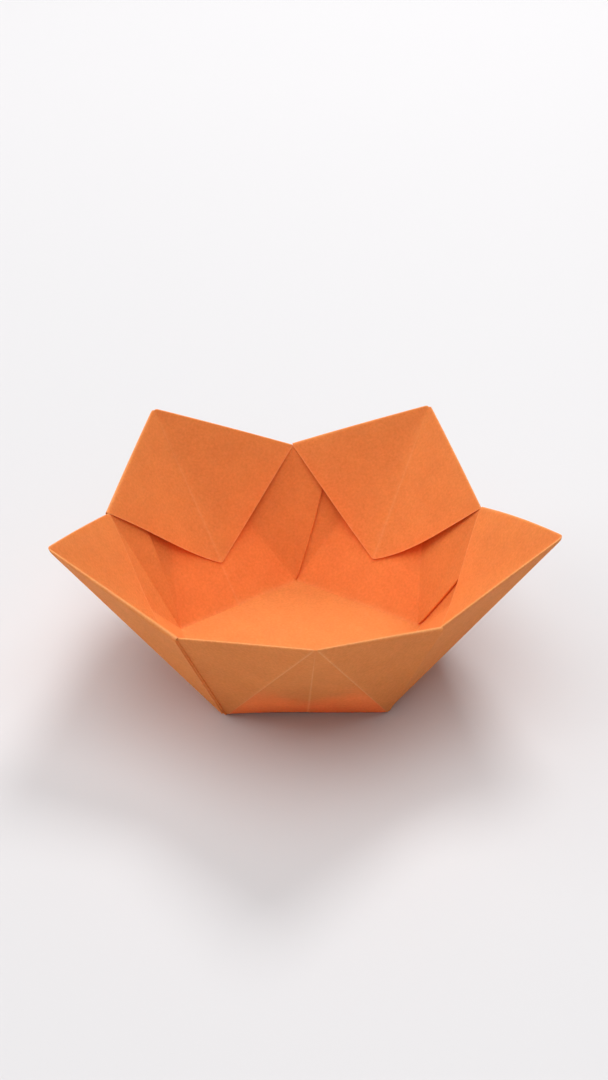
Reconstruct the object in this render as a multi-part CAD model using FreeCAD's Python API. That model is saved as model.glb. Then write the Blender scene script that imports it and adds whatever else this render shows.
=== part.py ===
import FreeCAD, Part
import os
from math import cos, sin, pi, radians
from FreeCAD import Vector

# Star bowl folded from one pentagon of paper. Millimetres and degrees, +Z up.
# The origin is the centre of the flat underside.
#
# Each petal has a centre triangle and two side triangles. Over the rim of a side
# triangle the paper turns down outside the wall, back up, and over the rim again
# into the flap that hangs inside. Between two petals it is gathered in a pleat of
# four layers, which lies on the inner face of one of them, under its flap.

# Shape of the bowl
petals = 5
first_corner_angle = 90.0    # direction of the first corner of the floor
base_radius = 19.7           # centre of the floor to each of its corners
valley_radius = 30.0         # centre to each low point of the rim
valley_height = 19.7
tip_radius = 37.6            # centre to each tip of the star
tip_height = 26.6
flap_length = 26.6           # tip to the free corner of the flap, along its crease
flap_stand_off = 0.6         # free corner of the flap to the wall behind it

# Paper, and how closely its layers lie
paper_thickness = 0.10
layer_gap = 0.05             # air left between two pressed layers
facet_count = 4              # flats round each half-round fold

# Ends of the layers, measured from a corner of the floor or from a seam
raw_edge_set_back = 0.55     # seam to the cut edge of the outermost layer
hidden_foot = 1.6            # corner to the end of the two layers outside the wall
lining_foot = 3.0            # corner to the end of a pleat's two inner layers
pleat_foot = 1.5             # corner to the start of a pleat's folds
entry_foot = 0.45            # corner to the start of a pleat's first leaf

# Places of the layers on a side triangle, counted outwards from its wall
second_hidden = 2
first_hidden = 1
wall = 0
return_leaf = -1
return_lining = -2
entry_lining = -3
entry_leaf = -4
flap_over_wall = -1
flap_over_pleat = -5

half_paper = paper_thickness / 2
pitch = paper_thickness + layer_gap
sector = 360.0 / petals
corner_decimals = 6          # decimals to which two corners are one
flat_enough = 1e-7           # most that a flat face's corners leave its plane
same_direction = 1 - 1e-9    # cosine above which two normals are one


def polar(angle, radius, height):
    """Point at an angle round the bowl's axis."""
    turn = radians(angle)
    return Vector(radius * cos(turn), radius * sin(turn), height)


def unit(vector):
    return vector / vector.Length


def area_vector(points):
    """Right-hand normal of an outline, as long as twice its area."""
    total = Vector(0, 0, 0)
    for start, end in zip(points, points[1:] + points[:1]):
        total += (start - points[0]).cross(end - points[0])
    return total


def plane_through(points, outwards):
    """Plane (normal, distance) through three points, its normal turned outwards."""
    normal = unit(area_vector(points))
    if normal.dot(outwards) < 0:
        normal = -normal
    return normal, normal.dot(points[0])


def layer(plane, place):
    """The plane of a paper layer, counted outwards from the wall."""
    normal, distance = plane
    return normal, distance + place * pitch


def meet(first, second, third):
    """Point shared by three planes."""
    (a, da), (b, db), (c, dc) = first, second, third
    return (b.cross(c) * da + c.cross(a) * db + a.cross(b) * dc) / a.dot(b.cross(c))


def fold_reach(place, other_place):
    """How far a half-round fold stands out past the edges of the layers it joins."""
    return abs(place - other_place) * pitch / 2 + half_paper


class Edge:
    """Edge of a panel, from start to end, with the rest of the panel on one side."""

    def __init__(self, start, end, face, inside):
        self.start = start
        self.end = end
        self.face = face[0]
        self.along = unit(end - start)
        self.inwards = self.face.cross(self.along)
        if self.inwards.dot(inside - start) < 0:
            self.inwards = -self.inwards
        self.away = -self.inwards

    def inset(self, at_start, at_end):
        """Plane square to the panel, along the edge drawn in by two amounts."""
        start = self.start + self.inwards * at_start
        end = self.end + self.inwards * at_end
        normal = unit(self.face.cross(end - start))
        return normal, normal.dot(start)

    def square(self, distance):
        """Plane square to the edge, a distance from its start."""
        return self.along, self.along.dot(self.start) + distance


class Side:
    """Side triangle of a petal: tip, low point of the rim, corner of the floor."""

    def __init__(self, tip, valley, base, outwards, flap_place):
        self.plane = plane_through([tip, valley, base], outwards)
        self.out = self.plane[0]
        self.base = base
        self.rim = Edge(tip, valley, self.plane, base)
        self.ridge = Edge(base, tip, self.plane, valley)
        self.seam = Edge(base, valley, self.plane, tip)
        self.flap_place = flap_place
        self.brow = self.rim.inset(fold_reach(second_hidden, flap_over_wall),
                                   fold_reach(second_hidden, flap_place))
        self.fold_line = self.seam.inset(0, fold_reach(first_hidden, return_lining))

    def spot(self, place, limit, other_limit):
        """Corner of the layer at a place, where two planes limit it."""
        return meet(layer(self.plane, place), limit, other_limit)


class Petal:
    """One petal. Its far side carries the next petal's pleat on its inner face, and
    its near side runs on into a pleat on the petal before."""

    def __init__(self, index):
        corner = first_corner_angle + sector * index
        next_corner = corner + sector
        outwards = polar(corner + sector / 2, 1, 0)
        shift = seam_shift()
        near_base = polar(corner, base_radius - shift, half_paper)
        far_base = polar(next_corner, base_radius + shift, half_paper)
        near_valley = polar(corner, valley_radius - shift, valley_height)
        far_valley = polar(next_corner, valley_radius + shift, valley_height)
        self.tip = polar(corner + sector / 2, tip_radius, tip_height)
        self.centre = plane_through([self.tip, near_base, far_base], outwards)
        self.near = Side(self.tip, near_valley, near_base, outwards, flap_over_wall)
        self.far = Side(self.tip, far_valley, far_base, outwards, flap_over_pleat)


def seam_shift():
    """Half the step, along the radius, that a pleat makes between two petals."""
    tip = polar(sector / 2, tip_radius, tip_height)
    valley = polar(0, valley_radius, valley_height)
    base = polar(0, base_radius, half_paper)
    radial = Vector(1, 0, 0)
    lean = plane_through([tip, valley, base], radial)[0].dot(radial)
    return (wall - entry_leaf) * pitch / 2 / lean


class Sheet:
    """Middle surface of the folded paper, and half its thickness at each corner."""

    def __init__(self):
        self.corners = []
        self.numbers = {}
        self.normals = {}
        self.spokes = {}
        self.faces = []

    def number(self, point):
        """Number of a corner; points that coincide are one corner."""
        key = tuple(round(value, corner_decimals) for value in point)
        if key not in self.numbers:
            self.numbers[key] = len(self.corners)
            self.normals[len(self.corners)] = []
            self.corners.append(point)
        return self.numbers[key]

    def add_face(self, points, front):
        """Face whose right-hand normal is turned to the sheet's front."""
        if area_vector(points).dot(front) < 0:
            points = points[::-1]
        self.faces.append([self.number(point) for point in points])

    def panel(self, points, front):
        """Flat panel between creases. Its plane sets the thickness at its corners."""
        self.add_face(points, front)
        for point in points:
            self.normals[self.number(point)].append(front)

    def fold(self, edge, other_edge, ways, front):
        """Half-round fold between the edges of two layers that lie over each other.

        At each end it is an arc about the middle of the two corners, which bulges
        the given way. The front is outside on a mountain fold, inside on a valley.
        """
        sign = 1 if front.dot(other_edge[0] - edge[0]) < 0 else -1
        arcs = []
        for start, end, way in zip(edge, other_edge, ways):
            centre = (start + end) / 2
            back = start - centre
            away = unit(way - back * (way.dot(back) / back.dot(back))) * back.Length
            turns = [pi * step / facet_count for step in range(facet_count + 1)]
            spokes = [back * cos(turn) + away * sin(turn) for turn in turns]
            arc = [(centre + spoke, unit(spoke) * sign) for spoke in spokes]
            for point, spoke in arc[1:-1]:
                self.spokes[self.number(point)] = spoke
            arcs.append(arc)
        for step in range(facet_count):
            ring = [arcs[0][step], arcs[1][step], arcs[1][step + 1], arcs[0][step + 1]]
            self.add_face([point for point, spoke in ring], ring[0][1] + ring[3][1])

    def lift(self, number):
        """Half the thickness at a corner, as the mitre of the panels that meet there."""
        if number in self.spokes:
            return self.spokes[number] * half_paper
        normals = []
        for normal in self.normals[number]:
            if all(normal.dot(other) < same_direction for other in normals):
                normals.append(normal)
        if len(normals) == 1:
            return normals[0] * half_paper
        if len(normals) == 2:
            first, second = normals
            return (first + second) * (half_paper / (1 + first.dot(second)))
        return meet(*[(normal, half_paper) for normal in normals[:3]])

    def solid(self):
        """Closed solid between the sheet's front, its back and its edges."""
        lifts = [self.lift(number) for number in range(len(self.corners))]
        fronts = [corner + lift for corner, lift in zip(self.corners, lifts)]
        backs = [corner - lift for corner, lift in zip(self.corners, lifts)]
        outlines = [[fronts[i] for i in face] for face in self.faces]
        outlines += [[backs[i] for i in reversed(face)] for face in self.faces]
        steps = [step for face in self.faces for step in zip(face, face[1:] + face[:1])]
        inner = set(steps)
        for start, end in steps:
            if (end, start) not in inner:
                outlines.append([fronts[end], fronts[start], backs[start], backs[end]])
        shell = Part.Shell([face for outline in outlines for face in flat_faces(outline)])
        shell.sewShape()
        return Part.Solid(shell)


def flat_faces(points):
    """One face if the corners lie in a plane, else triangles."""
    level = unit(area_vector(points))
    if all(abs(level.dot(point - points[0])) < flat_enough for point in points):
        return [polygon_face(points)]
    return [polygon_face([points[0], points[i], points[i + 1]])
            for i in range(1, len(points) - 1)]


def polygon_face(points):
    return Part.Face(Part.makePolygon(points + points[:1]))


def add_wall(sheet, petal, before):
    """Centre triangle and two side triangles, which reach from the floor to the rim."""
    far, near = petal.far, petal.near
    entry = layer(before.far.plane, entry_leaf)
    far_tip = meet(far.plane, petal.centre, far.brow)
    near_tip = meet(near.plane, petal.centre, near.brow)
    sheet.panel([near_tip, near.base, far.base, far_tip], -petal.centre[0])

    far_foot = far.spot(wall, far.fold_line, far.seam.square(pleat_foot))
    far_top = far.spot(wall, far.brow, far.fold_line)
    sheet.panel([far_tip, far.base, far_foot, far_top], -far.out)

    start = near.seam.square(entry_foot)
    near_foot = near.spot(wall, entry, start)
    heel = (near_foot + near.spot(wall, petal.centre, start)) / 2
    near_top = near.spot(wall, near.brow, entry)
    sheet.panel([near_tip, near_top, near_foot, heel, near.base], -near.out)

    add_hidden_layers(sheet, far, [far_tip, far_top], far.fold_line,
                      far.seam.square(lining_foot), far.rim.away)
    add_hidden_layers(sheet, near, [near_tip, near_top],
                      layer(before.far.plane, entry_lining),
                      before.far.seam.square(lining_foot), near.seam.along)


def add_hidden_layers(sheet, side, wall_rim, seam_limit, lining_end, top_way):
    """The two layers outside a side triangle: down from the rim fold, and back up
    from the fold along the ridge. The second one ends in a cut edge at the seam."""
    ridge_inset = fold_reach(first_hidden, second_hidden)
    ridge = side.ridge.inset(ridge_inset, ridge_inset)
    cut = side.seam.inset(raw_edge_set_back, raw_edge_set_back)
    foot = side.ridge.square(hidden_foot)
    first = [side.spot(first_hidden, side.brow, ridge),
             side.spot(first_hidden, side.brow, seam_limit),
             side.spot(first_hidden, seam_limit, lining_end),
             side.spot(first_hidden, seam_limit, foot),
             side.spot(first_hidden, ridge, foot)]
    second = [side.spot(second_hidden, side.brow, ridge),
              side.spot(second_hidden, side.brow, cut),
              side.spot(second_hidden, cut, foot),
              side.spot(second_hidden, ridge, foot)]
    sheet.panel(first, side.out)
    sheet.panel(second, -side.out)
    sheet.fold(wall_rim, first[:2], [side.rim.away, top_way], -side.out)
    sheet.fold([first[0], first[-1]], [second[0], second[-1]], [side.ridge.away] * 2, side.out)


def add_flap(sheet, petal):
    """The flap inside the petal, bent along the crease from the tip to its corner."""
    inner = [layer(side.plane, flap_over_wall) for side in (petal.far, petal.near)]
    flap_tip = (meet(*inner, petal.far.brow) + meet(*inner, petal.near.brow)) / 2
    down = unit((petal.far.base + petal.near.base) / 2 - petal.tip)
    corner = petal.tip + down * flap_length - petal.centre[0] * flap_stand_off
    ridge_inset = fold_reach(first_hidden, second_hidden)
    for side in (petal.far, petal.near):
        ridge = side.ridge.inset(ridge_inset, ridge_inset)
        cut = side.seam.inset(raw_edge_set_back, raw_edge_set_back)
        outer_rim = [side.spot(second_hidden, side.brow, ridge),
                     side.spot(second_hidden, side.brow, cut)]
        flap_rim = [flap_tip, side.spot(side.flap_place, side.brow, cut)]
        front = plane_through(flap_rim + [corner], side.out)[0]
        sheet.panel(flap_rim + [corner], front)
        sheet.fold(outer_rim, flap_rim, [side.rim.away] * 2, -side.out)


def add_pleat(sheet, petal, before):
    """The pleat between two petals: the near side's wall and first hidden layer run
    on over the inner face of the petal before, turn back and join its far side."""
    near, host = petal.near, before.far
    valley = host.rim.end
    run = host.rim.along
    down = -host.seam.along
    depth = (host.base - valley).Length * run.dot(down)
    peak = valley + (down * (2 * run.dot(down)) - run) * depth
    top_edge = Edge(valley, peak, host.plane, host.base)
    far_edge = Edge(host.base, peak, host.plane, valley)
    top_inset = fold_reach(second_hidden, flap_over_pleat)
    top = top_edge.inset(top_inset, top_inset)
    end = far_edge.inset(0, fold_reach(entry_leaf, return_leaf))
    foot = host.seam.square(pleat_foot)
    lining_end = host.seam.square(lining_foot)
    start = near.seam.square(entry_foot)

    entry = layer(host.plane, entry_leaf)
    entry_under = layer(host.plane, entry_lining)
    first_leaf = [near.spot(wall, entry, start), near.spot(wall, near.brow, entry),
                  meet(entry, top, end), meet(entry, end, foot)]
    first_lining = [near.spot(first_hidden, entry_under, lining_end),
                    near.spot(first_hidden, near.brow, entry_under),
                    meet(entry_under, top, end), meet(entry_under, end, lining_end)]
    second_leaf = [host.spot(return_leaf, host.fold_line, foot),
                   host.spot(return_leaf, host.brow, host.fold_line),
                   host.spot(return_leaf, top, end), host.spot(return_leaf, end, foot)]
    second_lining = [host.spot(return_lining, host.fold_line, lining_end),
                     host.spot(return_lining, host.brow, host.fold_line),
                     host.spot(return_lining, top, end),
                     host.spot(return_lining, end, lining_end)]
    sheet.panel(first_leaf, -host.out)
    sheet.panel(first_lining, host.out)
    sheet.panel(second_leaf, host.out)
    sheet.panel(second_lining, -host.out)

    ends = [far_edge.away] * 2
    sheet.fold(first_leaf[1:3], first_lining[1:3], [near.seam.along, top_edge.away], -host.out)
    sheet.fold(second_leaf[1:3], second_lining[1:3], [top_edge.away] * 2, host.out)
    sheet.fold(first_leaf[:1:-1], second_leaf[:1:-1], ends, -host.out)
    sheet.fold(first_lining[:1:-1], second_lining[:1:-1], ends, host.out)

    wall_seam = [host.spot(wall, host.fold_line, foot),
                 host.spot(wall, host.brow, host.fold_line)]
    hidden_seam = [host.spot(first_hidden, host.fold_line, lining_end),
                   host.spot(first_hidden, host.brow, host.fold_line)]
    sheet.fold(wall_seam, second_leaf[:2], [host.seam.away] * 2, -host.out)
    sheet.fold(hidden_seam, second_lining[:2], [host.seam.away] * 2, host.out)


def fold_sheet():
    """The whole sheet in its folded state."""
    sheet = Sheet()
    ring = [Petal(index) for index in range(petals)]
    floor = [side.base for petal in ring for side in (petal.near, petal.far)]
    sheet.panel(floor, Vector(0, 0, 1))
    for index, petal in enumerate(ring):
        before = ring[index - 1]
        add_wall(sheet, petal, before)
        add_flap(sheet, petal)
        add_pleat(sheet, petal, before)
    return sheet


def main():
    os.makedirs("parts", exist_ok=True)
    folded = fold_sheet().solid()
    print("valid", folded.isValid(), "volume", round(folded.Volume, 1))
    folded.exportStep("parts/folded_sheet.step")


main()
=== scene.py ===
from math import cos, pi, radians, sin

import bmesh
import bpy
import numpy as np
from bpy.props import FloatProperty, FloatVectorProperty, IntProperty, PointerProperty
from mathutils import Matrix, Vector


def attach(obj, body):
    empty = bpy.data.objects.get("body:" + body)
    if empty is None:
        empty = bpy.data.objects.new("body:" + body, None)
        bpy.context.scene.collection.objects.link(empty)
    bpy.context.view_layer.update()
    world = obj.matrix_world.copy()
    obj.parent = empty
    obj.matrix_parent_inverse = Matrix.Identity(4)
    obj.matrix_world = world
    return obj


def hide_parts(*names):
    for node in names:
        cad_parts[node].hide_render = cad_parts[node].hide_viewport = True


bl_info = {
    "name": "Folded star bowl",
    "version": (1, 0, 0),
    "blender": (4, 5, 0),
    "location": "View3D > Sidebar > Star bowl",
    "description": "A star-shaped bowl folded from one pentagon of orange paper",
    "category": "Add Mesh",
}

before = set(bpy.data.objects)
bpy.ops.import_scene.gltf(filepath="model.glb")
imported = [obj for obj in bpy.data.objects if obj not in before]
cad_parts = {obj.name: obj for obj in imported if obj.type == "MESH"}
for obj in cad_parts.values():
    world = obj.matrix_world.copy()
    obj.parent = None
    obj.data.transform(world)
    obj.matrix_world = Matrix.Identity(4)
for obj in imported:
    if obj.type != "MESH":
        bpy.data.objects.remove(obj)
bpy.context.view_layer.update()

PETALS = 5
SECTOR = 360.0 / PETALS
FIRST_CORNER = 90.0

# Places of the paper's layers at a side triangle, in layers outwards from its wall. The
# leaves and linings of a pleat and the flaps lie inside the wall.
SECOND_HIDDEN, FIRST_HIDDEN, WALL = 2, 1, 0
RETURN_LEAF, RETURN_LINING, ENTRY_LINING, ENTRY_LEAF = -1, -2, -3, -4
FLAP_OVER_WALL, FLAP_OVER_PLEAT = -1, -5

# How far hand folding has moved each low point and each tip, in metres: outwards from
# the axis, upwards, and anticlockwise round it.
VALLEY_DRIFT = np.array([[0.08, 0.25, 0.18], [0.67, -0.22, 0.16], [0.39, -0.20, -0.16],
                         [-0.26, 0.35, 0.06], [-0.62, -0.20, -0.04]]) / 1000
TIP_DRIFT = np.array([[0.40, 0.11, 0.50], [0.15, -0.28, 0.04], [0.02, -0.14, -0.26],
                      [0.10, 0.11, 0.10], [-0.05, 0.12, 0.05]]) / 1000

# How the near and the far side of each petal leave their flat shape, in metres: how far
# the side triangle bows inwards, its rim arches up, the half flap curls outwards, and the
# half flap's cut edge bulges past the straight line between its ends.
WALL_BOW = np.array([[0.10, 0.15], [0.15, 0.10], [0.10, 0.12], [0.15, 0.10], [0.10, 0.15]]) / 1000
RIM_ARCH = np.array([[0.10, 0.10], [0.15, 0.10], [0.10, 0.10], [0.10, 0.35], [0.10, 0.10]]) / 1000
FLAP_CURL = np.array([[0.9, 0.9], [0.8, 0.8], [0.8, 0.8], [0.8, 0.8], [0.9, 0.9]]) / 1000
FLAP_BULGE = np.array([[0.0, -0.3], [0.1, 0.1], [0.1, 0.1], [0.1, 0.1], [0.5, 0.0]]) / 1000

# How far each flap's free corner has moved, in metres: down the petal and anticlockwise.
FLAP_DRIFT = np.array([[0.5, 0.0], [0.0, 0.0], [0.0, 0.0], [0.0, 0.0], [0.0, -0.45]]) / 1000

# Half the width, in metres, over which creases are rounded: each petal's near and far
# ridge, each flap's crease, and the edges of the floor.
RIDGE_ROUND = np.array([[1.6, 2.5], [0.8, 0.8], [0.5, 0.5], [0.8, 0.8], [0.3, 1.0]]) / 1000
FLAP_ROUND = np.array([1.2, 1.0, 1.0, 1.0, 1.1]) / 1000
FLOOR_ROUND = 0.4 / 1000

# How far a pleat's free edge arches out over the petal and, for each pleat, lifts off it,
# and how far from that edge both fade, in metres.
PLEAT_ARCH, PLEAT_REACH = 0.4 / 1000, 2.0 / 1000
PLEAT_LIFT = np.array([0.15, 0.35, 0.15, 0.15, 0.08]) / 1000

# How clearly worn creases show, from 0 to 1: the line down the middle of each petal, then
# rims, ridges on the outer layers and on the wall, the floor's edges and spokes, and flaps.
# On the rims and on the outer layers' ridges the pale band is wear and also a painted
# highlight along the fold's crest.
MIDDLE_WORN = (0.5, 0.3, 0.85, 0.3, 0.2)
RIM_WEAR_AND_HIGHLIGHT, RIDGE_WEAR_AND_HIGHLIGHT, RIDGE_WORN_INSIDE = 0.85, 0.8, 0.8 / 3
FLOOR_WORN, SPOKE_WORN, FLAP_WORN = 0.4, 0.2, 0.5

# How far, in radians round a fold, its pale band of wear and painted highlight spreads, and
# how much further than a round fold the rim stands out.
WEAR_AND_HIGHLIGHT_SPREAD = 0.9
RIM_SWELL = 1.4

# Places of the grid lines across a panel, close together near its creases. A hidden
# layer's lining ends at LINED of its height, and the rest is divided at LOWER.
STEPS = np.array([0, 0.03, 0.11, 0.26, 0.42, 0.58, 0.74, 0.89, 0.97, 1])
LINED = 0.9
LOWER = np.array([0.5, 1.0])
FOLD_FACETS = 4

# Points that agree in this many decimals of a metre are one point.
SAME_DECIMALS = 8

# The most edges round an opening where creases meet, and the angle, in degrees, above
# which an edge of the finished paper is shaded sharp.
MOST_SIDES = 80
SHARP_ANGLE = 50


# Sizes and colours.

class BowlSizes(bpy.types.PropertyGroup):
    """Lengths of the folded sheet."""
    base_radius: FloatProperty(name="Floor corner", description="Centre of the floor to its corners",
                               default=0.0197, unit="LENGTH", precision=4)
    valley_radius: FloatProperty(name="Low point reach", description="Axis to the low points of the rim",
                                 default=0.0300, unit="LENGTH", precision=4)
    valley_height: FloatProperty(name="Low point height", description="Height of the low points",
                                 default=0.0197, unit="LENGTH", precision=4)
    tip_radius: FloatProperty(name="Tip reach", description="Axis to the tips of the star",
                              default=0.0375, unit="LENGTH", precision=4)
    tip_height: FloatProperty(name="Tip height", description="Height of the tips",
                              default=0.0265, unit="LENGTH", precision=4)
    flap_length: FloatProperty(name="Flap length", description="Tip to the flap's free corner",
                               default=0.0267, unit="LENGTH", precision=4)
    flap_stand_off: FloatProperty(name="Flap stand-off", description="Free corner to the wall behind",
                                  default=0.00008, unit="LENGTH", precision=5)
    paper: FloatProperty(name="Paper", description="Thickness of the paper",
                         default=0.00008, unit="LENGTH", precision=5)
    gap: FloatProperty(name="Gap", description="Air between two pressed layers",
                       default=0.00002, unit="LENGTH", precision=5)
    raw_set_back: FloatProperty(name="Raw edge", description="Seam to the cut edge beside it",
                                default=0.00008, unit="LENGTH", precision=5)
    near_set_back: FloatProperty(name="Raw edge by a pleat", description="Seam to the cut edge there",
                                 default=-0.00012, unit="LENGTH", precision=5)
    hidden_foot: FloatProperty(name="Hidden foot", description="Floor corner to the outer layers",
                               default=0.0008, unit="LENGTH", precision=5)
    lining_foot: FloatProperty(name="Lining foot", description="Floor corner to a pleat's lining",
                               default=0.0022, unit="LENGTH", precision=5)
    pleat_foot: FloatProperty(name="Pleat foot", description="Floor corner to a pleat's folds",
                              default=0.0006, unit="LENGTH", precision=5)
    entry_foot: FloatProperty(name="Entry foot", description="Floor corner to a pleat's first leaf",
                              default=0.0002, unit="LENGTH", precision=5)
    pleat_spread: FloatProperty(name="Pleat spread", description="Width that a pleat gains at its top",
                                default=0.0009, unit="LENGTH", precision=5)
    smoothing: IntProperty(name="Smoothing", description="Times the surface is divided",
                           default=1, min=0, max=2)


class PaperLook(bpy.types.PropertyGroup):
    """Colours and light of the paper and the table."""
    paper: FloatVectorProperty(name="Paper", description="Colour of the dyed paper",
                               default=(0.820, 0.216, 0.049), size=3, subtype="COLOR", min=0, max=1)
    # Paler colour: wear where a crease is worn, and a painted highlight along fold crests and cut edges.
    crease: FloatVectorProperty(name="Crease", description="Colour of the paper where a crease is worn",
                                default=(0.930, 0.370, 0.140), size=3, subtype="COLOR", min=0, max=1)
    table: FloatVectorProperty(name="Table", description="Colour of the table",
                               default=(0.63, 0.62, 0.63), size=3, subtype="COLOR", min=0, max=1)
    glow: FloatProperty(name="Glow", description="How much light passes through the paper",
                        default=0.5, min=0, max=1, subtype="FACTOR")


# Planes, edges and petals.

def polar(angle, radius, height):
    """Point at an angle in degrees round the bowl's axis."""
    turn = radians(angle)
    return np.array([radius * cos(turn), radius * sin(turn), height])


def drifted(angle, radius, height, drift):
    """Point at an angle, moved outwards, upwards and anticlockwise by the drift."""
    turn = radians(angle)
    sideways = np.array([-sin(turn), cos(turn), 0]) * drift[2]
    return polar(angle, radius + drift[0], height + drift[1]) + sideways


def unit(vector):
    return vector / np.linalg.norm(vector)


def plane_through(points, outwards):
    """Plane (normal, distance) through three points, its normal turned outwards."""
    normal = unit(np.cross(points[1] - points[0], points[2] - points[0]))
    if normal @ outwards < 0:
        normal = -normal
    return normal, normal @ points[0]


def meet(*planes):
    """Point shared by three planes."""
    return np.linalg.solve(np.array([normal for normal, _ in planes]),
                           np.array([distance for _, distance in planes]))


class Edge:
    """Edge of a panel, from start to end, with the rest of the panel on one side."""

    def __init__(self, start, end, face, inside):
        self.start, self.end, self.face = start, end, face[0]
        self.along = unit(end - start)
        self.inwards = np.cross(self.face, self.along)
        if self.inwards @ (inside - start) < 0:
            self.inwards = -self.inwards
        self.away = -self.inwards

    def inset(self, at_start, at_end):
        """Plane square to the panel, along the edge drawn in by two amounts."""
        start = self.start + self.inwards * at_start
        end = self.end + self.inwards * at_end
        normal = unit(np.cross(self.face, end - start))
        return normal, normal @ start

    def square(self, distance):
        """Plane square to the edge, a distance from its start."""
        return self.along, self.along @ self.start + distance


class Side:
    """Side triangle of a petal: tip, low point of the rim, corner of the floor."""

    def __init__(self, sizes, tip, valley, base, outwards, flap_place, bow, arch):
        self.pitch = sizes.paper + sizes.gap
        self.half = sizes.paper / 2
        self.plane = plane_through([tip, valley, base], outwards)
        self.out = self.plane[0]
        self.base = base
        self.flap_place = flap_place
        self.bow, self.arch = bow, arch
        self.rim = Edge(tip, valley, self.plane, base)
        self.ridge = Edge(base, tip, self.plane, valley)
        self.seam = Edge(base, valley, self.plane, tip)
        self.brow = self.rim.inset(self.reach(SECOND_HIDDEN, FLAP_OVER_WALL),
                                   self.reach(SECOND_HIDDEN, flap_place))
        self.fold_line = self.seam.inset(0, self.reach(FIRST_HIDDEN, RETURN_LINING))
        self.to_weights = np.linalg.inv(np.array([tip - base, valley - base, self.out]).T)

    def reach(self, place, other_place):
        """How far a half-round fold stands out past the edges of its layers."""
        return abs(place - other_place) * self.pitch / 2 + self.half

    def layer(self, place):
        """The plane of the layer at a place, counted outwards from the wall."""
        return self.out, self.plane[1] + place * self.pitch

    def spot(self, place, limit, other_limit):
        """Corner of the layer at a place, where two planes limit it."""
        return meet(self.layer(place), limit, other_limit)

    def shift(self, points):
        """How the side's panels leave their flat shape.

        With the three corner weights a (tip), b (low point) and c (floor), each point
        moves inwards by bow * 27abc, and away from the floor by arch * 4ab.
        """
        weights = np.clip((points - self.base) @ self.to_weights.T, 0, 1)
        tip, low = weights[..., 0], weights[..., 1]
        floor = np.clip(1 - tip - low, 0, 1)
        inwards = (27 * self.bow * tip * low * floor)[..., None] * -self.out
        upwards = (4 * self.arch * tip * low)[..., None] * self.rim.away
        return inwards + upwards


class Petal:
    """One petal. Its far side carries the next petal's pleat on its inner face, and
    its near side runs on into a pleat on the petal before."""

    def __init__(self, sizes, index):
        corner = FIRST_CORNER + SECTOR * index
        next_corner, middle = corner + SECTOR, corner + SECTOR / 2
        outwards = polar(middle, 1, 0)
        step = pleat_step(sizes) / 2
        half = sizes.paper / 2
        drift, next_drift = VALLEY_DRIFT[index], VALLEY_DRIFT[(index + 1) % PETALS]
        near_base = polar(corner, sizes.base_radius - step, half)
        far_base = polar(next_corner, sizes.base_radius + step, half)
        near_valley = drifted(corner, sizes.valley_radius - step, sizes.valley_height, drift)
        far_valley = drifted(next_corner, sizes.valley_radius + step, sizes.valley_height, next_drift)
        self.tip = drifted(middle, sizes.tip_radius, sizes.tip_height, TIP_DRIFT[index])
        self.centre = plane_through([self.tip, near_base, far_base], outwards)
        self.near = Side(sizes, self.tip, near_valley, near_base, outwards, FLAP_OVER_WALL,
                         WALL_BOW[index, 0], RIM_ARCH[index, 0])
        self.far = Side(sizes, self.tip, far_valley, far_base, outwards, FLAP_OVER_PLEAT,
                        WALL_BOW[index, 1], RIM_ARCH[index, 1])
        self.flap_curls = FLAP_CURL[index]
        self.flap_bulges = FLAP_BULGE[index]
        self.flap_drift = FLAP_DRIFT[index]
        self.flap_round = FLAP_ROUND[index]
        self.middle_worn = MIDDLE_WORN[index]
        self.pleat_lift = PLEAT_LIFT[index]
        self.near.ridge_round, self.far.ridge_round = RIDGE_ROUND[index]


def pleat_step(sizes):
    """The step, along the radius, that a pleat makes between two petals."""
    tip = polar(SECTOR / 2, sizes.tip_radius, sizes.tip_height)
    valley = polar(0, sizes.valley_radius, sizes.valley_height)
    base = polar(0, sizes.base_radius, sizes.paper / 2)
    radial = np.array([1.0, 0, 0])
    lean = plane_through([tip, valley, base], radial)[0] @ radial
    return (WALL - ENTRY_LEAF) * (sizes.paper + sizes.gap) / lean


# Patches of the middle surface.

def run(start, end, steps=STEPS):
    """Points from start to end at the given parts of the way."""
    return start + (end - start) * steps[:, None]


def between(left, right, steps=STEPS):
    """Grid of points: each row goes straight from a point of one line to the other."""
    return left[:, None] + (right - left)[:, None] * steps[None, :, None]


def still(points):
    """The shift of a patch that keeps its place."""
    return np.zeros_like(points)


def arc(parts):
    """Rises from 0 to 1 at half of the way and falls to 0 again: 4t(1 - t)."""
    return 4 * parts * (1 - parts)


def hump(parts):
    """Rises from 0 to 1 at a third of the way and fades to 0: 27t(1 - t)^2 / 4."""
    return 27 / 4 * parts * (1 - parts) ** 2


def rounded(points, start, end, fronts, width, fade=True):
    """How points near a crease from start to end move inwards, to round it.

    Across the crease, a profile k * |x| becomes k * sqrt(x^2 + w^2), with k the tangent
    of half its turn. Along the crease the width w is a hump, or only grows from its
    start as t.
    """
    first, second = fronts
    half_turn = np.sqrt((1 - first @ second) / (1 + first @ second))
    along = end - start
    parts = np.clip((points - start) @ along / (along @ along), 0, 1)
    aside = np.linalg.norm(points - start - parts[..., None] * along, axis=-1)
    widths = width * (hump(parts) if fade else parts)
    depth = half_turn * (np.hypot(aside, widths) - aside)
    return depth[..., None] * -unit(first + second)


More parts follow.
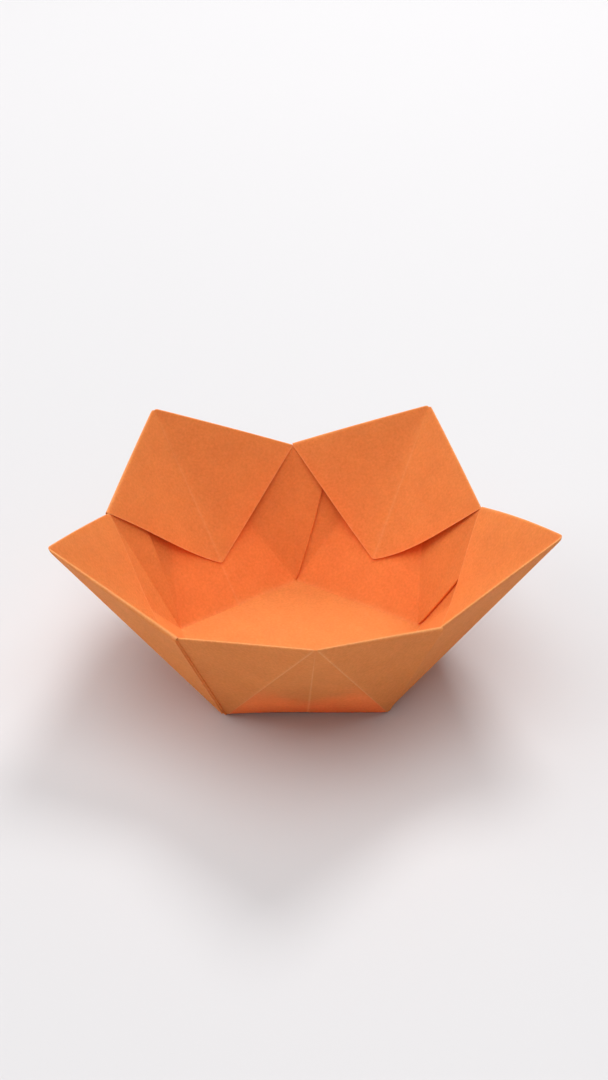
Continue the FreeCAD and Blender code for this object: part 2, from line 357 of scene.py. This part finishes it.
class Sheet:
    """Middle surface of the folded paper, gathered patch by patch."""

    def __init__(self):
        self.points, self.shifts, self.creases, self.cuts, self.faces = [], [], [], [], []
        self.count = 0

    def add(self, grid, front, shift=still, creases=(0, 0, 0, 0), cuts=(0, 0, 0, 0)):
        """Puts in a grid of points whose faces are turned to the front.

        Crease and cut strengths are given for the first row, last row, first column and
        last column; each counts only on the points of that line. A crease's strength pales it
        as wear, and a cut's strength paints a highlight along the cut edge.
        """
        rows, columns = grid.shape[:2]
        number = self.count + np.arange(rows * columns).reshape(rows, columns)
        faces = np.stack([number[:-1, :-1], number[:-1, 1:], number[1:, 1:], number[1:, :-1]], -1)
        turn = np.cross(grid[-1, 0] - grid[0, -1], grid[-1, -1] - grid[0, 0])
        if turn @ front > 0:
            faces = faces[..., ::-1]
        self.points.append(grid.reshape(-1, 3))
        self.shifts.append(shift(grid).reshape(-1, 3))
        self.creases.append(rim_values(rows, columns, creases))
        self.cuts.append(rim_values(rows, columns, cuts))
        self.faces.append(faces.reshape(-1, 4))
        self.count += rows * columns

    def fold(self, edge, other_edge, ways, front, shift=still, wear_and_highlight=0.0, swell=1.0):
        """Half-round fold between the edges of two layers that lie over each other.

        Each point goes round the middle of its two edge points by the cosine of a half
        turn along the gap between them, and bulges by its sine the given way.
        A swell above one makes the fold stand out further than a round one, and its
        pale band, wear and a painted highlight on its crest, fades as a bell curve round it.
        """
        turns = pi * np.arange(FOLD_FACETS + 1) / FOLD_FACETS
        centre = (edge + other_edge) / 2
        back = edge - centre
        length = np.linalg.norm(back, axis=1, keepdims=True)
        parts = np.linspace(0, 1, len(edge))[:, None]
        way = ways[0] * (1 - parts) + ways[1] * parts
        way = way - back * (np.sum(way * back, axis=1, keepdims=True) / length ** 2)
        away = way / np.linalg.norm(way, axis=1, keepdims=True) * length * swell
        grid = (centre[:, None] + back[:, None] * np.cos(turns)[None, :, None]
                + away[:, None] * np.sin(turns)[None, :, None])
        outside = away[len(edge) // 2]
        sign = 1 if front @ back[0] > 0 else -1
        self.add(grid, outside * sign, shift)
        # Pale band of wear and painted highlight along the fold's crest.
        crest_band = np.exp(-((turns - pi / 2) / WEAR_AND_HIGHLIGHT_SPREAD) ** 2) * wear_and_highlight
        self.creases[-1] = np.tile(crest_band, len(edge))

    def merged(self):
        """Points, quads and edge strengths with the patches joined along their seams."""
        points = np.concatenate(self.points)
        shifts = np.concatenate(self.shifts)
        keys = np.round(points, SAME_DECIMALS)
        _, first, group = np.unique(keys, axis=0, return_index=True, return_inverse=True)
        group = group.ravel()
        shared = np.bincount(group)[:, None]
        moved = np.zeros((len(first), 3))
        np.add.at(moved, group, shifts)
        creases, cuts = np.zeros(len(first)), np.zeros(len(first))
        np.maximum.at(creases, group, np.concatenate(self.creases))
        np.maximum.at(cuts, group, np.concatenate(self.cuts))
        faces = group[np.concatenate(self.faces)]
        return points[first] + moved / shared, faces, creases, cuts


def rim_values(rows, columns, strengths):
    """Grid of zeros with the four strengths on its first and last rows and columns."""
    values = np.zeros((rows, columns))
    values[0] = strengths[0]
    values[-1] = np.maximum(values[-1], strengths[1])
    values[:, 0] = np.maximum(values[:, 0], strengths[2])
    values[:, -1] = np.maximum(values[:, -1], strengths[3])
    return values.ravel()


# The folded sheet.

def add_walls(sheet, petal, before, sizes):
    """Centre triangle in two halves, and two side triangles up to the rim."""
    far, near = petal.far, petal.near
    entry = before.far.layer(ENTRY_LEAF)
    far_tip = meet(far.plane, petal.centre, far.brow)
    near_tip = meet(near.plane, petal.centre, near.brow)
    middle_tip, middle_foot = (far_tip + near_tip) / 2, (far.base + near.base) / 2
    middle = run(middle_tip, middle_foot)
    edges = (0, FLOOR_WORN, RIDGE_WORN_INSIDE, petal.middle_worn)
    outside, down = petal.centre[0], np.array([0, 0, -1.0])

    def ridge_shift(points, side):
        return rounded(points, side.base, petal.tip, (outside, side.out), side.ridge_round)

    def centre_shift(points):
        return (rounded(points, near.base, far.base, (outside, down), FLOOR_ROUND)
                + ridge_shift(points, near) + ridge_shift(points, far))

    def side_shift(side):
        return lambda points: side.shift(points) + ridge_shift(points, side)

    sheet.add(between(run(near_tip, near.base), middle), -outside, centre_shift, edges)
    sheet.add(between(run(far_tip, far.base), middle), -outside, centre_shift, edges)

    far_foot = far.spot(WALL, far.fold_line, far.seam.square(sizes.pleat_foot))
    far_top = far.spot(WALL, far.brow, far.fold_line)
    sheet.add(between(run(far_tip, far.base), run(far_top, far_foot)), -far.out, side_shift(far))

    near_foot = near.spot(WALL, entry, near.seam.square(sizes.entry_foot))
    near_top = near.spot(WALL, near.brow, entry)
    sheet.add(between(run(near_tip, near.base), run(near_top, near_foot)), -near.out,
              side_shift(near))

    add_hidden_layers(sheet, far, run(far_tip, far_top), far.fold_line,
                      far.seam.square(sizes.lining_foot), far.rim.away, sizes.raw_set_back, sizes)
    add_hidden_layers(sheet, near, run(near_tip, near_top), before.far.layer(ENTRY_LINING),
                      before.far.seam.square(sizes.lining_foot), near.seam.along,
                      sizes.near_set_back, sizes)


def add_hidden_layers(sheet, side, wall_rim, seam_limit, lining_end, top_way, set_back, sizes):
    """The two layers outside a side triangle: down from the rim fold, and back up
    from the fold along the ridge. The second one ends in a cut edge at the seam."""
    inset = side.reach(FIRST_HIDDEN, SECOND_HIDDEN)
    ridge = side.ridge.inset(inset, inset)
    cut = side.seam.inset(set_back, set_back)
    foot = side.ridge.square(sizes.hidden_foot)
    top, end = side.spot(FIRST_HIDDEN, side.brow, ridge), side.spot(FIRST_HIDDEN, ridge, foot)
    rows = np.concatenate([STEPS * LINED, LINED + (1 - LINED) * LOWER])
    first_left = run(top, end, rows)
    lining = side.spot(FIRST_HIDDEN, seam_limit, lining_end)
    first_right = np.concatenate([run(side.spot(FIRST_HIDDEN, side.brow, seam_limit), lining),
                                  run(lining, side.spot(FIRST_HIDDEN, seam_limit, foot), LOWER)])
    second_left = run(side.spot(SECOND_HIDDEN, side.brow, ridge),
                      side.spot(SECOND_HIDDEN, ridge, foot), rows)
    second_right = run(side.spot(SECOND_HIDDEN, side.brow, cut),
                       side.spot(SECOND_HIDDEN, cut, foot), rows)
    first, second = between(first_left, first_right), between(second_left, second_right)
    # The ridge's pale line and its fold's crest band are wear and also a painted highlight.
    edges = (0, 0, RIDGE_WEAR_AND_HIGHLIGHT, 0)
    sheet.add(first, side.out, side.shift, edges)
    sheet.add(second, -side.out, side.shift, edges)
    sheet.fold(wall_rim, first[0], [side.rim.away, top_way], -side.out, side.shift)
    sheet.fold(first_left, second_left, [side.ridge.away] * 2, side.out, side.shift, RIDGE_WEAR_AND_HIGHLIGHT)


def add_flap(sheet, petal, sizes):
    """The flap inside the petal, bent along the crease from the tip to its corner.

    With a the part of the way from the rim to the crease and t from the tip to the cut
    edge, each half curls outwards by curl * 27a^2(1 - a)t / 4, its cut edge bulges by
    bulge * 4a(1 - a)t, and it follows the rim's own shift by 1 - a.
    """
    inner = [side.layer(FLAP_OVER_WALL) for side in (petal.far, petal.near)]
    flap_tip = (meet(*inner, petal.far.brow) + meet(*inner, petal.near.brow)) / 2
    down = unit((petal.far.base + petal.near.base) / 2 - petal.tip)
    sideways = np.cross(petal.centre[0], down)
    sideways = sideways if sideways @ petal.near.ridge.away > 0 else -sideways
    corner = (petal.tip + down * (sizes.flap_length + petal.flap_drift[0])
              + sideways * petal.flap_drift[1] - petal.centre[0] * sizes.flap_stand_off)
    cuts = [side.seam.inset(sizes.raw_set_back, sizes.raw_set_back)
            for side in (petal.near, petal.far)]
    ends = [petal.near.spot(petal.near.flap_place, petal.near.brow, cuts[0]),
            petal.far.spot(petal.far.flap_place, petal.far.brow, cuts[1])]
    fronts = [plane_through([flap_tip, end, corner], petal.centre[0])[0] for end in ends]
    outwards = plane_through([flap_tip, *ends], petal.centre[0])[0]
    parts, across = STEPS[:, None], STEPS[None, :]
    for side, cut, end, front, curl, bulge in zip(
            (petal.near, petal.far), cuts, ends, fronts, petal.flap_curls, petal.flap_bulges):
        inset = side.reach(FIRST_HIDDEN, SECOND_HIDDEN)
        ridge = side.ridge.inset(inset, inset)
        outer_rim = run(side.spot(SECOND_HIDDEN, side.brow, ridge),
                        side.spot(SECOND_HIDDEN, side.brow, cut))
        flap_rim = run(flap_tip, end)
        grid = between(flap_rim, run(flap_tip, corner))
        below = np.cross(front, unit(corner - end))
        below = below if below @ (end - flap_tip) > 0 else -below
        shift = (side.shift(grid) * (1 - across)[..., None]
                 + (hump(1 - across) * parts)[..., None] * curl * outwards
                 + (arc(across) * parts)[..., None] * bulge * below
                 + rounded(grid, flap_tip, corner, fronts, petal.flap_round, fade=False))
        # The flap's cut edge gets a painted highlight, and the rim fold a pale crest band of wear and
        # painted highlight.
        sheet.add(grid, front, lambda points: shift,
                  creases=(0, 0, 0, FLAP_WORN), cuts=(0, 1, 0, 0))
        sheet.fold(outer_rim, flap_rim, [side.rim.away] * 2, -side.out, side.shift,
                   RIM_WEAR_AND_HIGHLIGHT, RIM_SWELL)


def add_pleat(sheet, petal, before, sizes):
    """The pleat between two petals: the near side's wall and first hidden layer run
    on over the inner face of the petal before, turn back and join its far side."""
    near, host = petal.near, before.far
    valley, out = host.rim.end, host.out
    down = -host.seam.along
    slope = host.rim.along @ down
    depth = np.linalg.norm(host.base - valley) * slope
    peak = valley + (down * (2 * slope) - host.rim.along) * depth
    top_edge = Edge(valley, peak, host.plane, host.base)
    far_edge = Edge(host.base, peak, host.plane, valley)
    top_inset = host.reach(SECOND_HIDDEN, FLAP_OVER_PLEAT)
    top = top_edge.inset(top_inset, top_inset)
    end = far_edge.inset(0, host.reach(ENTRY_LEAF, RETURN_LEAF) - sizes.pleat_spread)
    foot = host.seam.square(sizes.pleat_foot)
    lining_end = host.seam.square(sizes.lining_foot)
    start = near.seam.square(sizes.entry_foot)
    entry, under = host.layer(ENTRY_LEAF), host.layer(ENTRY_LINING)

    first_leaf = between(run(near.spot(WALL, near.brow, entry), near.spot(WALL, entry, start)),
                         run(meet(entry, top, end), meet(entry, end, foot)))
    first_lining = between(run(near.spot(FIRST_HIDDEN, near.brow, under),
                               near.spot(FIRST_HIDDEN, under, lining_end)),
                           run(meet(under, top, end), meet(under, end, lining_end)))
    second_leaf = between(run(host.spot(RETURN_LEAF, host.brow, host.fold_line),
                              host.spot(RETURN_LEAF, host.fold_line, foot)),
                          run(host.spot(RETURN_LEAF, top, end), host.spot(RETURN_LEAF, end, foot)))
    second_lining = between(run(host.spot(RETURN_LINING, host.brow, host.fold_line),
                                host.spot(RETURN_LINING, host.fold_line, lining_end)),
                            run(host.spot(RETURN_LINING, top, end),
                                host.spot(RETURN_LINING, end, lining_end)))

    def pleat_shift(points):
        """The host's own shift, and an arch and a lift of the pleat's free edge, which
        fade as a bell curve away from that edge."""
        along = far_edge.end - far_edge.start
        parts = np.clip((points - far_edge.start) @ along / (along @ along), 0, 1)
        aside = (points - far_edge.start) @ far_edge.inwards / PLEAT_REACH
        bell = (arc(parts) * np.exp(-aside ** 2))[..., None]
        return host.shift(points) + bell * (PLEAT_ARCH * far_edge.away - petal.pleat_lift * out)

    for grid, front in ((first_leaf, -out), (first_lining, out),
                        (second_leaf, out), (second_lining, -out)):
        sheet.add(grid, front, pleat_shift)

    ends = [far_edge.away] * 2
    sheet.fold(first_leaf[0], first_lining[0], [near.seam.along, top_edge.away], -out, pleat_shift)
    sheet.fold(second_leaf[0], second_lining[0], [top_edge.away] * 2, out, pleat_shift)
    sheet.fold(first_leaf[:, -1], second_leaf[:, -1], ends, -out, pleat_shift)
    sheet.fold(first_lining[:, -1], second_lining[:, -1], ends, out, pleat_shift)

    wall_seam = run(host.spot(WALL, host.brow, host.fold_line),
                    host.spot(WALL, host.fold_line, foot))
    hidden_seam = run(host.spot(FIRST_HIDDEN, host.brow, host.fold_line),
                      host.spot(FIRST_HIDDEN, host.fold_line, lining_end))
    sheet.fold(wall_seam, second_leaf[:, 0], [host.seam.away] * 2, -out, host.shift)
    sheet.fold(hidden_seam, second_lining[:, 0], [host.seam.away] * 2, out, host.shift)


def add_floor(sheet, ring, sizes):
    """The floor, as triangles from its centre to each half of its edges."""
    centre = np.array([0, 0, sizes.paper / 2])
    up = np.array([0, 0, 1.0])
    creases = (0, 0, SPOKE_WORN, SPOKE_WORN)
    for index, petal in enumerate(ring):
        near, far, wall = petal.near.base, petal.far.base, petal.centre[0]

        def shift(points):
            return rounded(points, near, far, (wall, -up), FLOOR_ROUND)

        middle = (far + near) / 2
        to_centre = run(middle, centre)
        sheet.add(between(run(near, centre), to_centre), up, shift, creases)
        corner = ring[(index + 1) % PETALS].near.base
        step = np.array([far, (far + corner) / 2])
        left = np.concatenate([[middle, middle], to_centre])
        right = np.concatenate([step, run(corner, centre)])
        sheet.add(between(left, right), up, shift, creases)


def fold_sheet(sizes):
    """The whole sheet in its folded state."""
    sheet = Sheet()
    ring = [Petal(sizes, index) for index in range(PETALS)]
    for index, petal in enumerate(ring):
        before = ring[index - 1]
        add_walls(sheet, petal, before, sizes)
        add_flap(sheet, petal, sizes)
        add_pleat(sheet, petal, before, sizes)
    add_floor(sheet, ring, sizes)
    return sheet.merged()


def mesh_from(name, points, faces):
    """Mesh of a list of points and quads; a quad with two corners in one is a triangle."""
    repeated = faces == np.roll(faces, -1, axis=1)
    whole = faces[~repeated.any(axis=1)].tolist()
    short = [list(dict.fromkeys(face)) for face in faces[repeated.sum(axis=1) == 1].tolist()]
    mesh = bpy.data.meshes.new(name)
    mesh.from_pydata(points.tolist(), [], whole + short)
    mesh.validate()
    mesh.update()
    return mesh


def close_vertices(mesh):
    """Closes the small openings where creases meet; the sheet's own edge stays open."""
    form = bmesh.new()
    form.from_mesh(mesh)
    border = [edge for edge in form.edges if edge.is_boundary]
    bmesh.ops.holes_fill(form, edges=border, sides=MOST_SIDES)
    form.to_mesh(mesh)
    form.free()


def put_attribute(mesh, name, values):
    attribute = mesh.attributes.new(name, "FLOAT", "POINT")
    attribute.data.foreach_set("value", values.astype(np.float32))


class STARBOWL_OT_sheet(bpy.types.Operator):
    """Folds the sheet: panels, half-round folds, pleats and flaps in one surface."""
    bl_idname = "starbowl.sheet"
    bl_label = "Folded sheet"

    def execute(self, context):
        sizes = context.scene.bowl_sizes
        points, faces, creases, cuts = fold_sheet(sizes)
        mesh = mesh_from("folded_paper", points, faces)
        # The crease attribute holds crease wear and painted highlights on fold crests; the cut attribute
        # holds painted highlights along cut edges.
        put_attribute(mesh, "crease", creases)
        put_attribute(mesh, "cut", cuts)
        close_vertices(mesh)
        piece = bpy.data.objects.new("folded_paper", mesh)
        context.scene.collection.objects.link(piece)
        if sizes.smoothing:
            rounding = piece.modifiers.new("rounding", "SUBSURF")
            rounding.levels = rounding.render_levels = sizes.smoothing
            rounding.boundary_smooth = "PRESERVE_CORNERS"
        body = piece.modifiers.new("thickness", "SOLIDIFY")
        body.thickness = sizes.paper
        body.offset = 0
        finish_mesh(piece)
        piece.data.materials.append(paper_material(context.scene.paper_look))
        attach(piece, "root")
        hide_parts("folded_sheet")
        return {"FINISHED"}


def finish_mesh(piece):
    """Makes the modifiers' result the piece's own mesh, smooth but for its cut edges."""
    shown = bpy.data.meshes.new_from_object(
        piece.evaluated_get(bpy.context.evaluated_depsgraph_get()))
    piece.modifiers.clear()
    piece.data = shown
    shown.polygons.foreach_set("use_smooth", np.ones(len(shown.polygons), dtype=bool))
    shown.set_sharp_from_angle(angle=radians(SHARP_ANGLE))


# The look of the paper.

ROUGHNESS, SHINE = 0.72, 0.12

# How far light travels inside the paper, in metres, and the share of it in each colour.
GLOW_DEPTH, GLOW_COLOUR = 0.00032, (1.0, 0.55, 0.24)

# Clouds and fibres in the paper: how fine the noise is per metre, its detail, and how
# far it changes the colour. The fibres are also paler, by a share of the crease's colour,
# and raised, by a strength and a height in metres.
CLOUD_SCALE, CLOUD_DETAIL, CLOUD_CONTRAST = 260, 4, 0.10
FIBRE_SCALE, FIBRE_DETAIL, FIBRE_CONTRAST = 2600, 3, 0.12
FIBRE_PALE, FIBRE_RAISED, FIBRE_HEIGHT = 0.3, 0.6, 0.00003

# Powers that narrow the pale line along a crease, which is wear and on fold crests also a
# painted highlight, and the painted highlight along a cut edge.
WEAR_AND_HIGHLIGHT_POWER, CUT_HIGHLIGHT_POWER = 2, 6


def noise_output(tree, place, scale, detail):
    """Noise at the piece's own coordinates."""
    noise = tree.nodes.new("ShaderNodeTexNoise")
    noise.inputs["Scale"].default_value = scale
    noise.inputs["Detail"].default_value = detail
    tree.links.new(place.outputs["Object"], noise.inputs["Vector"])
    return noise.outputs["Fac"]


def contrast_output(tree, noise, contrast):
    """A noise as a factor that lies up to the contrast below and above one."""
    factor = tree.nodes.new("ShaderNodeMapRange")
    factor.inputs["To Min"].default_value = 1 - contrast
    factor.inputs["To Max"].default_value = 1 + contrast
    tree.links.new(noise, factor.inputs["Value"])
    return factor.outputs["Result"]


def attribute_output(tree, name):
    """The piece's own attribute of that name."""
    attribute = tree.nodes.new("ShaderNodeAttribute")
    attribute.attribute_name = name
    return attribute.outputs["Fac"]


def math_output(tree, operation, *terms):
    """Result of an operation on terms that are numbers or other nodes' outputs."""
    node = tree.nodes.new("ShaderNodeMath")
    node.operation = operation
    for socket, term in zip(node.inputs, terms):
        if isinstance(term, bpy.types.NodeSocket):
            tree.links.new(term, socket)
        else:
            socket.default_value = term
    return node.outputs["Value"]


def paper_material(look):
    """Dyed paper: cloudy colour, short fibres, paler where creased, with a painted highlight along fold
    crests and cut edges.
    """
    material = bpy.data.materials.new("orange_paper")
    material.use_nodes = True
    tree = material.node_tree
    shader = tree.nodes["Principled BSDF"]
    shader.inputs["Roughness"].default_value = ROUGHNESS
    shader.inputs["Specular IOR Level"].default_value = SHINE
    shader.inputs["Subsurface Weight"].default_value = look.glow
    shader.inputs["Subsurface Radius"].default_value = GLOW_COLOUR
    shader.inputs["Subsurface Scale"].default_value = GLOW_DEPTH

    place = tree.nodes.new("ShaderNodeTexCoord")
    clouds = noise_output(tree, place, CLOUD_SCALE, CLOUD_DETAIL)
    fibres = noise_output(tree, place, FIBRE_SCALE, FIBRE_DETAIL)
    shade = math_output(tree, "MULTIPLY", contrast_output(tree, clouds, CLOUD_CONTRAST),
                        contrast_output(tree, fibres, FIBRE_CONTRAST))
    crease = attribute_output(tree, "crease")
    # Painted highlight along cut edges.
    cut = math_output(tree, "POWER", attribute_output(tree, "cut"), CUT_HIGHLIGHT_POWER)
    wear_and_highlight = math_output(tree, "POWER", math_output(tree, "MAXIMUM", crease, cut), WEAR_AND_HIGHLIGHT_POWER)

    # Paler colour mixed in: crease wear, and painted highlights on fold crests and cut edges.
    colour = tree.nodes.new("ShaderNodeMix")
    colour.data_type = "RGBA"
    colour.inputs["A"].default_value = (*look.paper, 1)
    colour.inputs["B"].default_value = (*look.crease, 1)
    tree.links.new(math_output(tree, "MULTIPLY_ADD", fibres, FIBRE_PALE, wear_and_highlight),
                   colour.inputs["Factor"])
    shaded = tree.nodes.new("ShaderNodeVectorMath")
    shaded.operation = "SCALE"
    tree.links.new(colour.outputs["Result"], shaded.inputs[0])
    tree.links.new(shade, shaded.inputs["Scale"])
    tree.links.new(shaded.outputs["Vector"], shader.inputs["Base Color"])

    bump = tree.nodes.new("ShaderNodeBump")
    bump.inputs["Strength"].default_value = FIBRE_RAISED
    bump.inputs["Distance"].default_value = FIBRE_HEIGHT
    tree.links.new(fibres, bump.inputs["Height"])
    tree.links.new(bump.outputs["Normal"], shader.inputs["Normal"])
    return material


# The stage: table, lights and camera.

TABLE_HALF, TABLE_ROUGHNESS = 3.0, 0.6
LIT_SPOT = Vector((0, 0, 0))

# Strength of the white surround that lights everything from all sides.
SURROUND = 0.25

# The camera, set by the photograph's perspective: angles in degrees, then its distance
# and the point it looks at, in floor corner radii, and the focal length in pixels.
CAMERA_TURN, CAMERA_HEIGHT, CAMERA_ROLL = -3.124, 31.065, 0.642
CAMERA_DISTANCE = 11.807
CAMERA_TARGET = (0.014, 0.092, 0.948)
FOCAL_PIXELS, IMAGE_HEIGHT = 1565.5, 1080

# The sensor's longer side in millimetres, and the nearest thing it sees in metres.
SENSOR = 36.0
NEAREST = 0.01


def lay_table(scene):
    """A plain pale table under the bowl."""
    corners = TABLE_HALF * np.array([[-1, -1, 0], [1, -1, 0], [1, 1, 0], [-1, 1, 0]])
    table = bpy.data.objects.new("table", mesh_from("table", corners, np.array([[0, 1, 2, 3]])))
    scene.collection.objects.link(table)
    material = bpy.data.materials.new("table")
    material.use_nodes = True
    shader = material.node_tree.nodes["Principled BSDF"]
    shader.inputs["Base Color"].default_value = (*scene.paper_look.table, 1)
    shader.inputs["Roughness"].default_value = TABLE_ROUGHNESS
    table.data.materials.append(material)


def hang(scene, data, place):
    """Puts a light at a place, turned to the bowl."""
    turn = (LIT_SPOT - Vector(place)).to_track_quat("-Z", "Y")
    light = bpy.data.objects.new(data.name, data)
    light.matrix_world = Matrix.LocRotScale(Vector(place), turn, None)
    scene.collection.objects.link(light)


def add_lamp(scene, name, place, width, power):
    """A round soft lamp: place and width in metres, power in watts."""
    data = bpy.data.lights.new(name, "AREA")
    data.shape = "DISK"
    data.size = width
    data.energy = power
    hang(scene, data, place)


def add_sky(scene, name, place, angle, power):
    """A wide soft light without falloff, so that the table stays pale to its edge."""
    data = bpy.data.lights.new(name, "SUN")
    data.angle = radians(angle)
    data.energy = power
    hang(scene, data, place)


def set_lights(scene):
    """A window behind the bowl, a wide ceiling, three weak lamps and a white surround."""
    add_lamp(scene, "window", place=(0.20, 0.62, 0.74), width=0.34, power=4.1)
    add_sky(scene, "ceiling", place=(0.0, -0.1, 1.0), angle=62, power=1.75)
    add_lamp(scene, "left", place=(-0.85, 0.1, 0.5), width=0.8, power=3.2)
    add_lamp(scene, "back", place=(0.0, 0.9, 0.45), width=1.0, power=0.8)
    add_lamp(scene, "front", place=(0.0, -0.8, 0.6), width=1.0, power=1.3)
    world = bpy.data.worlds.new("surround")
    world.use_nodes = True
    background = world.node_tree.nodes["Background"]
    background.inputs["Color"].default_value = (1, 1, 1, 1)
    background.inputs["Strength"].default_value = SURROUND
    scene.world = world
    scene.view_settings.view_transform = "Standard"


def place_camera(scene):
    """The camera at the photograph's angle."""
    turn, height, roll = radians(CAMERA_TURN), radians(CAMERA_HEIGHT), radians(CAMERA_ROLL)
    back = Vector((sin(turn) * cos(height), -cos(turn) * cos(height), sin(height)))
    right = Vector((cos(turn), sin(turn), 0))
    up = back.cross(right)
    right, up = right * cos(roll) + up * sin(roll), up * cos(roll) - right * sin(roll)
    data = bpy.data.cameras.new("camera")
    data.sensor_fit = "AUTO"
    data.sensor_width = SENSOR
    data.lens = FOCAL_PIXELS / IMAGE_HEIGHT * SENSOR
    data.clip_start = NEAREST
    camera = bpy.data.objects.new("camera", data)
    camera.matrix_world = Matrix((right, up, back)).transposed().to_4x4()
    camera.matrix_world.translation = (
        (Vector(CAMERA_TARGET) + back * CAMERA_DISTANCE) * scene.bowl_sizes.base_radius)
    scene.collection.objects.link(camera)
    scene.camera = camera


class STARBOWL_OT_stage(bpy.types.Operator):
    """Lays the table, sets the lights and places the camera."""
    bl_idname = "starbowl.stage"
    bl_label = "Stage"

    def execute(self, context):
        lay_table(context.scene)
        set_lights(context.scene)
        place_camera(context.scene)
        return {"FINISHED"}


# The add-on.

OPERATORS = (STARBOWL_OT_sheet, STARBOWL_OT_stage)


class STARBOWL_PT_panel(bpy.types.Panel):
    """Lists the steps and the sizes of the folded bowl."""
    bl_idname = "STARBOWL_PT_panel"
    bl_label = "Star bowl"
    bl_space_type = "VIEW_3D"
    bl_region_type = "UI"
    bl_category = "Star bowl"

    def draw(self, context):
        for operator in OPERATORS:
            self.layout.operator(operator.bl_idname)
        for group in (context.scene.bowl_sizes, context.scene.paper_look):
            for name in group.bl_rna.properties.keys():
                if name not in ("rna_type", "name"):
                    self.layout.prop(group, name)


CLASSES = (BowlSizes, PaperLook, *OPERATORS, STARBOWL_PT_panel)


def register():
    for item in CLASSES:
        bpy.utils.register_class(item)
    bpy.types.Scene.bowl_sizes = PointerProperty(type=BowlSizes)
    bpy.types.Scene.paper_look = PointerProperty(type=PaperLook)


def unregister():
    del bpy.types.Scene.paper_look
    del bpy.types.Scene.bowl_sizes
    for item in reversed(CLASSES):
        bpy.utils.unregister_class(item)


def main():
    register()
    bpy.ops.starbowl.sheet()
    bpy.ops.starbowl.stage()


if __name__ == "__main__":
    main()
